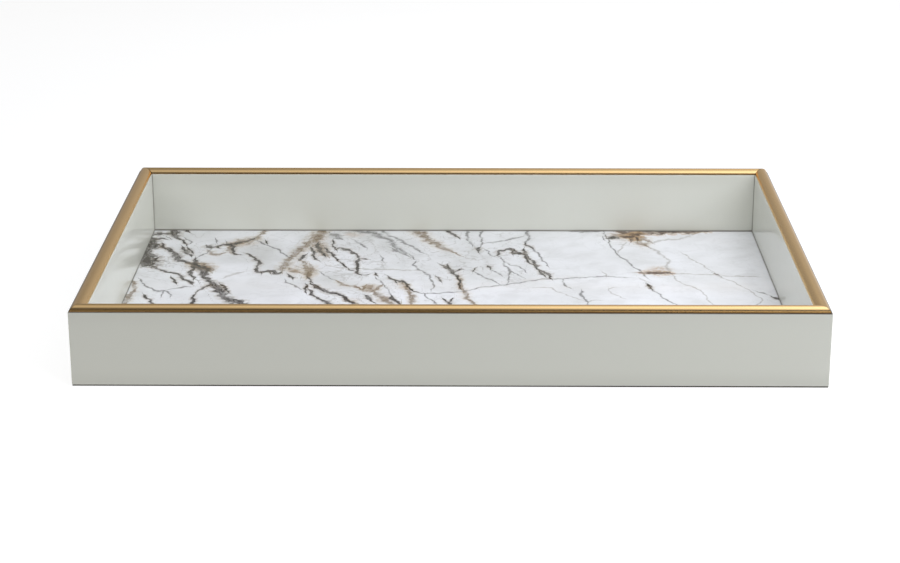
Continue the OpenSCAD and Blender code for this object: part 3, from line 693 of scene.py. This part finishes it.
CLUMP = [(-214, 106, 3.5, 16, 0, 1.0), (-211, 72, 4.5, 14, 5, 1.0), (-214, 88, 2, 10, 0, 0.9), (-202, 133, 4, 6, 0, 0.8), (-185, 92, 3.5, 10, -15, 0.5), (-86, 128, 5, 6, 0, 0.5), (-94, 98, 5, 14, 5, 0.45),
         (-76, 96, 6, 4, 0, 0.5), (-172, 103, 4, 4, 0, 0.35), (46, 88, 5, 3.5, 0, 0.9), (63, 45, 3, 5, 10, 0.7), (114, 124, 5, 4, 0, 0.9), (0, 49, 3, 6, 10, 0.55), (-144, -12, 5, 4, 20, 0.7), (-210, 60, 6, 3, 0, 0.8),
         (-197, 88, 3, 8, 15, 0.3), (-55, -3, 3, 5, 0, 0.5), (-119, -43, 4, 5, 0, 0.6), (-92, -88, 5, 4, 0, 0.5), (-52, -35, 4, 4, 0, 0.6), (-148, -98, 5, 4, 0, 0.6), (36, -91, 4, 3, 0, 0.5)]
# how busy the fine secondary veins are
BUSY = [(-75, 80, 34, 70, 10, 1.0), (-20, 95, 34, 50, 10, 0.8), (25, 85, 30, 60, 5, 0.8), (-190, 80, 26, 60, 0, 0.7), (-50, -10, 40, 28, 0, 0.8), (0, 30, 24, 30, 0, 0.5), (-140, 110, 20, 20, 0, 0.4),
        (120, 120, 18, 20, 0, 0.6), (-150, -90, 30, 24, 20, 0.7), (-80, -70, 40, 30, 0, 0.6), (40, -90, 34, 26, 0, 0.6), (150, -60, 30, 24, 0, 0.4), (140, 48, 14, 8, 0, 0.5)]


def curve_through(points, step=1.0):
    """Points about a step apart on a smooth curve through the given ones: x, y, width."""
    p = np.array(points, float)
    if len(p) == 2:
        p = np.array([p[0], (p[0] + p[1]) / 2, p[1]])
    q = np.concatenate([[2 * p[0] - p[1]], p, [2 * p[-1] - p[-2]]])
    out = []
    for i in range(1, len(q) - 2):
        a, b, c, d = q[i - 1], q[i], q[i + 1], q[i + 2]
        n = max(2, int(np.linalg.norm((c - b)[:2]) / step))
        for u in np.arange(n) / n:
            out.append(0.5 * (2 * b + (c - a) * u + (2 * a - 5 * b + 4 * c - d) * u ** 2 + (3 * b - a - 3 * c + d) * u ** 3))
    out.append(p[-1])
    return np.array(out)


def wandering(path, seed):
    """The same curve with the small sideways wander of a natural vein, and tapered ends."""
    r = np.random.default_rng(seed)
    d = np.gradient(path[:, :2], axis=0)
    d /= np.maximum(np.linalg.norm(d, axis=1), 1e-9)[:, None]
    s = np.concatenate([[0], np.cumsum(np.linalg.norm(np.diff(path[:, :2], axis=0), axis=1))])
    side = sum(a * np.sin(2 * np.pi * s / lam + r.uniform(0, 7)) for a, lam in ((0.5, 23.0), (0.38, 11.0), (0.24, 5.3)))
    width = path[:, 2] * (1 + sum(a * np.sin(2 * np.pi * s / lam + r.uniform(0, 7)) for a, lam in ((0.16, 9.0), (0.12, 4.1))))
    ends = np.minimum(s, s[-1] - s)
    side = side * np.clip(ends / 4, 0, 1)
    width = np.maximum(width, 0.5) * (0.35 + 0.65 * np.clip(ends / 5, 0, 1))
    xy = path[:, :2] + side[:, None] * np.stack([-d[:, 1], d[:, 0]], 1)
    return xy, s, width


def lay_veins(xs, ys):
    """For each kind, layers of (signed distance, length along, width) at every grid point, with veins that come close kept in
    separate layers, so that a distance never jumps where a vein shows."""
    nx, ny = len(xs), len(ys)
    routes = [(kind, *wandering(curve_through(pts), 100 + i)) for i, (kind, pts) in enumerate(VEINS)]
    layers = []
    for kind in (DARK, GREY, TAN, RUST, FAINT):
        mine = []
        for r in sorted((r for r in routes if r[0] == kind), key=lambda r: -r[2][-1]):
            pts, wid = r[1], r[3]
            for lay in mine:
                if all(np.min(np.linalg.norm(pts[::2, None] - o[1][None, ::2], axis=2) - wid[::2, None] / 2 - o[3][None, ::2] / 2) > 5.5 for o in lay):
                    lay.append(r)
                    break
            else:
                mine.append([r])
        layers += [(kind, lay) for lay in mine]
    fields = []
    dx, dy = xs[1] - xs[0], ys[1] - ys[0]
    for kind, lay in layers:
        best = np.full((ny, nx), 1e9)
        D, S, W = np.full((ny, nx), 9.0), np.zeros((ny, nx)), np.zeros((ny, nx))
        for _, xy, s, w in lay:
            for i in range(len(xy) - 1):
                a, b = xy[i], xy[i + 1]
                reach = max(w[i], w[i + 1]) / 2 + 5.5
                i0, i1 = int((min(a[0], b[0]) - reach - xs[0]) / dx), int((max(a[0], b[0]) + reach - xs[0]) / dx) + 2
                j0, j1 = int((min(a[1], b[1]) - reach - ys[0]) / dy), int((max(a[1], b[1]) + reach - ys[0]) / dy) + 2
                i0, j0, i1, j1 = max(i0, 0), max(j0, 0), min(i1, nx), min(j1, ny)
                if i1 <= i0 or j1 <= j0:
                    continue
                X, Y = xs[None, i0:i1], ys[j0:j1, None]
                e = b - a
                L2 = max(e @ e, 1e-12)
                u = np.clip(((X - a[0]) * e[0] + (Y - a[1]) * e[1]) / L2, 0, 1)
                px, py = X - a[0] - u * e[0], Y - a[1] - u * e[1]
                dist = np.hypot(px, py)
                ww = w[i] + (w[i + 1] - w[i]) * u
                better = (dist - ww / 2 < best[j0:j1, i0:i1]) & (dist < ww / 2 + 5.5)
                sign = np.where(e[0] * (Y - a[1]) - e[1] * (X - a[0]) >= 0, 1.0, -1.0)
                best[j0:j1, i0:i1][better] = (dist - ww / 2)[better]
                D[j0:j1, i0:i1][better] = (dist * sign)[better]
                S[j0:j1, i0:i1][better] = (s[i] + u * math.sqrt(L2))[better]
                fall = 1 - np.clip((dist - ww / 2 - 2.5) / 2.5, 0, 1) ** 2
                W[j0:j1, i0:i1][better] = (ww * fall)[better]
        fields.append((kind, D, S, W))
    return fields


def soft_patches(blobs, xs, ys):
    X, Y = np.meshgrid(xs, ys)
    out = np.zeros_like(X)
    for x, y, rx, ry, turn, k in blobs:
        c, s = math.cos(math.radians(turn)), math.sin(math.radians(turn))
        u, v = ((X - x) * c + (Y - y) * s) / rx, (-(X - x) * s + (Y - y) * c) / ry
        out = np.maximum(out, k * np.exp(-1.1 * (u * u + v * v)))
    return out


def marble(me, n_top, xs, ys):
    """Writes the vein layers on the mesh, and builds the material that reads them."""
    fields = lay_veins(xs * 1000, ys * 1000)

    def write(name, *planes):
        a = me.attributes.new(name, "FLOAT_VECTOR", "POINT")
        data = np.zeros((len(me.vertices), 3), np.float32)
        data[:, 0] = 9.0
        for k, p in enumerate(planes):
            data[:n_top, k] = p.ravel()
        a.data.foreach_set("vector", data.ravel())

    names = []
    for k, (kind, D, S, W) in enumerate(fields):
        write("vein%d" % k, D, S, W)
        names.append(("vein%d" % k, kind))
    write("patch_a", *(soft_patches(b, xs * 1000, ys * 1000) for b in (SHADE, WARM, CLUMP)))
    busy = soft_patches(BUSY, xs * 1000, ys * 1000)
    write("patch_b", busy, busy * 0, busy * 0)

    m = Tree("marble_laminate")
    p = m.vmath("SCALE", m.coord(), scale=1000.0)
    sepa, sepb = m.node("ShaderNodeSeparateXYZ"), m.node("ShaderNodeSeparateXYZ")
    m.put(sepa.inputs[0], m.attr("patch_a", "Vector"))
    m.put(sepb.inputs[0], m.attr("patch_b", "Vector"))
    shade, warm, clump, busy = sepa.outputs[0], sepa.outputs[1], sepa.outputs[2], sepb.outputs[0]

    swirl = m.noise(p, 0.05, 3.0, 0.55, color=True)                      # slow warp shared by the fine patterns
    warp = m.vmath("MULTIPLY_ADD", swirl, (16.0, 16.0, 16.0))
    add = m.t.nodes[-1]
    add.inputs[2].default_value = (0, 0, 0)
    pw = m.vmath("ADD", p, warp)

    cloud = m.noise(pw, 0.018, 4.0, 0.55)
    cloud2 = m.noise(pw, 0.07, 4.0, 0.6)
    base = m.mix(m.ramp(cloud, 0.35, 0.68), (0.86, 0.865, 0.895), (0.77, 0.775, 0.79))
    base = m.mix(m.ramp(cloud2, 0.42, 0.72, 0.0, 0.30), base, (0.62, 0.62, 0.63))
    base = m.mix(m.math("MULTIPLY", shade, m.ramp(cloud2, 0.25, 0.6, 0.55, 1.0)), base, (0.50, 0.50, 0.475))
    wn = m.noise(pw, 0.16, 4.0, 0.65)
    base = m.mix(m.math("MULTIPLY", warm, m.ramp(wn, 0.36, 0.62, 0.15, 1.0)), base, (0.44, 0.285, 0.15))

    # fine secondary veins: thin ridges of a warped noise, where the stone is busy
    r1 = m.math("ABSOLUTE", m.math("SUBTRACT", m.noise(pw, 0.045, 3.0, 0.5), 0.5))
    r2 = m.math("ABSOLUTE", m.math("SUBTRACT", m.noise(m.vmath("ADD", pw, (40.0, 9.0, 3.0)), 0.1, 3.0, 0.55), 0.5))
    gate = m.ramp(m.noise(p, 0.06, 2.0, 0.5), 0.42, 0.62)
    l1 = m.math("MULTIPLY", m.ramp(r1, 0.004, 0.016, 1.0, 0.0), m.ramp(busy, 0.0, 0.5, 0.15, 0.8))
    l2 = m.math("MULTIPLY", m.ramp(r2, 0.006, 0.024, 1.0, 0.0), m.math("MULTIPLY", gate, m.ramp(busy, 0.05, 0.7, 0.05, 0.75)))
    base = m.mix(m.math("MULTIPLY", l1, 0.38), base, (0.27, 0.25, 0.225))
    base = m.mix(m.math("MULTIPLY", l2, 0.4), base, (0.30, 0.265, 0.22))

    jit = m.math("SUBTRACT", m.noise(p, 0.8, 3.0, 0.6), 0.5)
    jit2 = m.math("SUBTRACT", m.noise(p, 0.28, 2.0, 0.5), 0.5)
    jit3 = m.math("SUBTRACT", m.noise(p, 2.4, 2.0, 0.6), 0.5)
    shift = m.math("ADD", m.math("MULTIPLY", jit, 1.05), m.math("MULTIPLY", jit2, 1.8))
    shift = m.math("MULTIPLY_ADD", jit3, 0.25, shift)
    brk = m.noise(p, 0.14, 3.0, 0.6)
    grain = m.noise(p, 1.6, 3.0, 0.6)
    swell = m.ramp(m.noise(p, 0.22, 3.0, 0.6), 0.32, 0.66, 0.30, 0.80)

    looks = {  # colour, lighter colour, strength, halo, halo colour, softness of the edge
        DARK: ((0.016, 0.010, 0.006), (0.062, 0.043, 0.028), 1.0, 0.34, (0.40, 0.34, 0.27), 0.04),
        GREY: ((0.085, 0.08, 0.075), (0.24, 0.232, 0.222), 0.76, 0.16, (0.52, 0.52, 0.52), 0.2),
        TAN: ((0.15, 0.098, 0.052), (0.38, 0.285, 0.18), 0.90, 0.30, (0.60, 0.535, 0.44), 0.16),
        RUST: ((0.030, 0.013, 0.007), (0.19, 0.088, 0.038), 0.98, 0.5, (0.55, 0.37, 0.20), 0.25),
        FAINT: ((0.22, 0.195, 0.165), (0.42, 0.39, 0.35), 0.5, 0.12, (0.64, 0.62, 0.59), 0.3),
    }
    order = {TAN: 0, FAINT: 1, GREY: 2, RUST: 3, DARK: 4}
    for k, (name, kind) in enumerate(sorted(names, key=lambda q: order[q[1]])):
        dark, pale, strength, halo_k, halo_c, soft = looks[kind]
        sep = m.node("ShaderNodeSeparateXYZ")
        m.put(sep.inputs[0], m.attr(name, "Vector"))
        D, S, W = sep.outputs
        d = m.math("ABSOLUTE", m.math("ADD", D, m.math("MULTIPLY", shift, m.ramp(W, 0.5, 4.0, 0.45, 1.4, smooth=False))))
        half = m.math("MULTIPLY", W, swell)
        body = m.ramp(d, m.math("MULTIPLY", half, 0.5 - soft * 0.6), m.math("MULTIPLY_ADD", half, 1.0, soft), 1.0, 0.0)
        comb = m.node("ShaderNodeCombineXYZ")
        m.put(comb.inputs[0], m.math("MULTIPLY", S, 0.16))
        m.put(comb.inputs[1], m.math("MULTIPLY", D, 1.15))
        comb.inputs[2].default_value = 3.7 * k
        streak = m.ramp(m.noise(comb.outputs[0], 1.0, 2.0, 0.55, 0.3), 0.36, 0.58)
        thick = m.ramp(W, 1.4, 3.6)
        keep = m.math("SUBTRACT", 1.0, m.math("MULTIPLY", m.math("MULTIPLY", thick, 0.22 if kind == RUST else 0.32), m.math("SUBTRACT", 1.0, streak)))
        fade = m.ramp(brk, 0.32, 0.56, 0.45 if kind != DARK else 0.74, 1.0)
        cover = m.math("MULTIPLY", m.math("MULTIPLY", body, keep), fade)
        halo = m.math("MULTIPLY", m.ramp(d, half, m.math("MULTIPLY_ADD", half, 1.5, 1.0), halo_k, 0.0), m.ramp(W, 0.2, 1.2))
        base = m.mix(halo, base, halo_c)
        base = m.mix(m.math("MULTIPLY", cover, strength), base, m.mix(m.ramp(grain, 0.42, 0.75), dark, pale))

    # dark fibrous clumps
    fib = m.noise(m.scaled(pw, (0.55, 0.16, 0.3)), 1.0, 4.0, 0.65, 0.5)
    th = m.ramp(clump, 0.05, 0.9, 0.74, 0.40, smooth=False)
    cl = m.math("MULTIPLY", m.ramp(m.math("SUBTRACT", fib, th), -0.03, 0.05), m.ramp(clump, 0.06, 0.3))
    base = m.mix(m.math("MULTIPLY", m.ramp(clump, 0.1, 0.8), 0.45), base, (0.30, 0.29, 0.26))
    base = m.mix(m.math("MULTIPLY", cl, 0.95), base, m.mix(grain, (0.018, 0.013, 0.009), (0.080, 0.064, 0.048)))

    sep = m.node("ShaderNodeSeparateXYZ")
    m.put(sep.inputs[0], p)
    # painted shade: the sheet darkens within a millimetre or two of the walls, most along the back and front, for the
    # shadow line at their foot
    rim_shade_x = m.ramp(m.math("SUBTRACT", _phi.x * 1000, m.math("ABSOLUTE", sep.outputs[0])), 0.2, 1.2, 0.25, 0.0)
    rim_shade_y = m.ramp(m.math("SUBTRACT", _phi.y * 1000, m.math("ABSOLUTE", sep.outputs[1])), 0.3, 1.8, 0.6, 0.0)
    base = m.mix(m.math("MAXIMUM", rim_shade_x, rim_shade_y), base, (0.14, 0.125, 0.105))
    m.set(Base_Color=base, Specular_IOR_Level=0.22)
    m.set(Roughness=m.ramp(m.noise(p, 0.03, 3.0), 0.3, 0.7, 0.055, 0.085))
    m.set(Normal=m.bump(m.noise(p, 0.05, 2.0), 0.05, 0.0004))
    print("marble layers:", len(names))
    return m.mat


NX, NY = 360, 236
panel, n_top = grid_slab("marble_sheet", _plo, _phi, NX, NY, plain_below=True)


def spread_uv(ob, lo, hi):
    """A texture layout that gives the printed face nearly the whole square, and the rim and underside thin strips."""
    me = ob.data
    uv = me.uv_layers.new(name="OFBake")
    co = np.zeros(len(me.vertices) * 3)
    me.vertices.foreach_get("co", co)
    co = co.reshape(-1, 3)
    fx, fy, fz = ((co[:, k] - lo[k]) / (hi[k] - lo[k]) for k in range(3))
    out = np.zeros((len(me.loops), 2))
    for f in me.polygons:
        n, ids = f.normal, list(f.vertices)
        at = slice(f.loop_start, f.loop_start + f.loop_total)
        if n.z > 0.9:
            out[at, 0], out[at, 1] = 0.004 + 0.992 * fx[ids], 0.11 + 0.885 * fy[ids]
        elif n.z < -0.9:
            out[at, 0], out[at, 1] = 0.004 + 0.992 * fx[ids], 0.004 + 0.024 * fy[ids]
        else:
            side = (0 if n.x > 0 else 1) if abs(n.x) > abs(n.y) else (2 if n.y > 0 else 3)
            out[at, 0] = 0.004 + 0.992 * (fy if side < 2 else fx)[ids]
            out[at, 1] = 0.036 + 0.017 * side + 0.012 * fz[ids]
    uv.data.foreach_set("uv", out.astype(np.float32).ravel())


spread_uv(panel, _plo, _phi)
_e = 0.15 * MM
paint(panel, marble(panel.data, n_top, np.linspace(_plo.x + _e, _phi.x - _e, NX + 1), np.linspace(_plo.y + _e, _phi.y - _e, NY + 1)))
shown(panel, "marble_panel", slot="marble_laminate")

_flo, _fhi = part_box("felt_backing")
felt, n_ft = grid_slab("felt_sheet", _flo, _fhi, 150, 100, edge=0.2 * MM)
paint(felt, FELT)
shown(felt, "felt_backing", slot="felt")

for node, mt in (("base_board", MDF), ("corner_splines", HARD), ("base_brads", STEEL), ("panel_adhesive", GLUE)):
    paint(NODES[node], mt)

# ---------------------------------------------------------------- floor, lights and camera
def floor():
    me = bpy.data.meshes.new("floor")
    s = 6.0
    me.from_pydata([(-s, -s, 0), (s, -s, 0), (s, s, 0), (-s, s, 0)], [], [(0, 1, 2, 3)])
    ob = bpy.data.objects.new("floor", me)
    bpy.context.scene.collection.objects.link(ob)
    m = Tree("pale_floor")
    p = m.coord()
    m.set(Base_Color=m.mix(m.noise(p, 3.0, 3.0), (0.40, 0.40, 0.40), (0.41, 0.41, 0.41)), Roughness=m.ramp(m.noise(p, 20.0), 0.3, 0.7, 0.8, 0.9), Specular_IOR_Level=0.1)
    m.set(Emission_Color=(1.0, 1.0, 1.0, 1.0), Emission_Strength=0.84)
    paint(ob, m.mat)
    ob.visible_glossy = False


def light(name, at, target, size, power, color=(1, 1, 1), spread=math.pi, glossy=True, only=()):
    d = bpy.data.lights.new(name, "AREA")
    d.shape, d.size, d.size_y = "RECTANGLE", size[0], size[1]
    d.energy, d.color, d.spread = power, color, spread
    ob = bpy.data.objects.new(name, d)
    ob.location = at
    ob.rotation_mode = "QUATERNION"
    ob.rotation_quaternion = (Vector(target) - Vector(at)).to_track_quat("-Z", "Y")
    bpy.context.scene.collection.objects.link(ob)
    ob.visible_glossy = glossy
    ob.visible_camera = False
    if only:
        lit = bpy.data.collections.new(name + "_lit")
        for o in only:
            lit.objects.link(bpy.data.objects[o])
        ob.light_linking.receiver_collection = lit
    return ob


def softbox():
    """A wide overhead sheet of light: it swells from the front to over the tray, and from left to right."""
    x0, x1, y0, y1, z = -0.80, 0.80, -0.62, 0.90, 0.52
    me = bpy.data.meshes.new("softbox")
    me.from_pydata([(x0, y0, z), (x0, y1, z), (x1, y1, z), (x1, y0, z)], [], [(0, 1, 2, 3)])
    ob = bpy.data.objects.new("softbox", me)
    bpy.context.scene.collection.objects.link(ob)
    m = Tree("softbox")
    sep = m.node("ShaderNodeSeparateXYZ")
    m.put(sep.inputs[0], m.coord())
    x, y, _ = sep.outputs
    along = m.math("POWER", 2.7183, m.math("MULTIPLY", m.ramp(x, -0.45, 0.45, -0.45, 0.45, smooth=False), 1.77))
    along = m.math("MULTIPLY", along, m.math("MULTIPLY", m.ramp(x, -0.8, -0.45), m.ramp(x, 0.5, 0.8, 1.0, 0.0)))
    crest = m.math("MULTIPLY", m.ramp(y, -0.42, -0.05), m.ramp(y, -0.05, 0.30, 1.0, 0.0))
    deep = m.math("MULTIPLY_ADD", crest, 0.65, m.math("MULTIPLY", m.ramp(y, -0.56, -0.20), m.ramp(y, 0.6, 0.9, 0.55, 0.35)))
    m.set(Base_Color=(0.0, 0.0, 0.0, 1.0), Emission_Color=(0.96, 0.99, 1.04, 1.0), Specular_IOR_Level=0.0,
          Emission_Strength=m.math("MULTIPLY", m.math("MULTIPLY", along, deep), 1.0))
    paint(ob, m.mat)
    ob.visible_camera = False


def world():
    """The rest of the studio: dim in front, a paler wall behind, and a white horizon."""
    m = Tree("studio", sky=True)
    d = m.node("ShaderNodeTexCoord").outputs["Generated"]
    sep = m.node("ShaderNodeSeparateXYZ")
    m.put(sep.inputs[0], d)
    x, y, z = sep.outputs
    back = m.ramp(y, 0.0, 0.75)
    slant = m.math("MULTIPLY", m.math("MULTIPLY", x, 0.22), back)
    above = m.math("ADD", m.math("MULTIPLY_ADD", back, 0.37, 0.09), slant)
    front = m.math("MULTIPLY", m.ramp(y, -0.75, -0.45, 1.0, 0.0), m.math("MULTIPLY", m.ramp(z, 0.42, 0.62), m.ramp(z, 0.75, 0.95, 1.0, 0.0)))
    lobes = m.math("ADD", m.ramp(x, 0.02, 0.17, 0.0, 1.2, smooth=False), m.ramp(x, -0.22, -0.06, 0.30, 0.0))
    above = m.math("MULTIPLY_ADD", front, lobes, above)
    under_back = m.math("MINIMUM", 0.80, m.math("MAXIMUM", 0.30, m.math("MULTIPLY_ADD", x, 1.1, 0.52)))
    under_front = m.math("ADD", 0.10, m.ramp(x, -0.2, -0.06, 0.65, 0.0))
    under = m.math("ADD", m.math("MULTIPLY", under_back, back), m.math("MULTIPLY", under_front, m.math("SUBTRACT", 1.0, back)))
    below = m.ramp(z, -0.03, 0.03, 1.0, 0.0)
    lum = m.math("ADD", m.math("MULTIPLY", above, m.math("SUBTRACT", 1.0, below)), m.math("MULTIPLY", under, below))
    col = m.mix(back, (1.0, 0.90, 0.74), (0.97, 0.99, 1.03))
    bg = m.node("ShaderNodeBackground")
    out = m.node("ShaderNodeOutputWorld")
    m.put(bg.inputs[0], m.mix(m.math("MULTIPLY", below, m.math("SUBTRACT", 1.0, back)), col, (1.0, 0.93, 0.84)))
    m.put(bg.inputs[1], lum)
    pale = m.node("ShaderNodeBackground")
    pale.inputs[0].default_value, pale.inputs[1].default_value = (1.0, 1.0, 1.0, 1.0), 0.97
    seen = m.node("ShaderNodeMixShader")
    m.put(seen.inputs[0], m.node("ShaderNodeLightPath").outputs["Is Camera Ray"])
    m.put(seen.inputs[1], bg.outputs[0])
    m.put(seen.inputs[2], pale.outputs[0])
    m.put(out.inputs[0], seen.outputs[0])
    bpy.context.scene.world = m.mat


def camera():
    d = bpy.data.cameras.new("camera")
    d.lens, d.sensor_width = 86.940, 36.0
    d.clip_start, d.clip_end = 0.05, 50.0
    ob = bpy.data.objects.new("camera", d)
    bpy.context.scene.collection.objects.link(ob)
    pitch, yaw, roll = (math.radians(v) for v in (19.0839, 0.4595, -0.0248))
    f = Vector((-math.sin(yaw) * math.cos(pitch), math.cos(yaw) * math.cos(pitch), -math.sin(pitch)))
    r = Vector((math.cos(yaw), math.sin(yaw), 0))
    u = r.cross(f)
    r, u = math.cos(roll) * r + math.sin(roll) * u, -math.sin(roll) * r + math.cos(roll) * u
    m = Matrix((r, u, -f)).transposed().to_4x4()
    m.translation = Vector((0.009702, -1.350105, 0.481514))
    ob.matrix_world = m
    bpy.context.scene.camera = ob


floor()
softbox()
light("front_fill", (0.95, -0.95, 0.75), (0.0, -0.15, 0.02), (0.9, 0.6), 11.4, color=(0.95, 0.99, 1.06), glossy=False)
light("inner_fill", (-0.25, -1.1, 1.0), (0.0, 0.1, 0.0), (2.2, 0.8), 42.5, glossy=False, only=("marble_sheet", "back_board", "left_board", "right_board"))
light("side_fill_a", (-0.9, -0.35, 0.55), (0.2, 0.0, 0.02), (0.5, 0.4), 4.6, glossy=False, only=("right_board",))
light("side_fill_b", (0.9, -0.35, 0.55), (-0.2, 0.0, 0.02), (0.5, 0.4), 10.0, glossy=False, only=("left_board",))
world()
camera()
sc = bpy.context.scene
sc.view_settings.view_transform = "Standard"
sc.view_settings.look = "None"
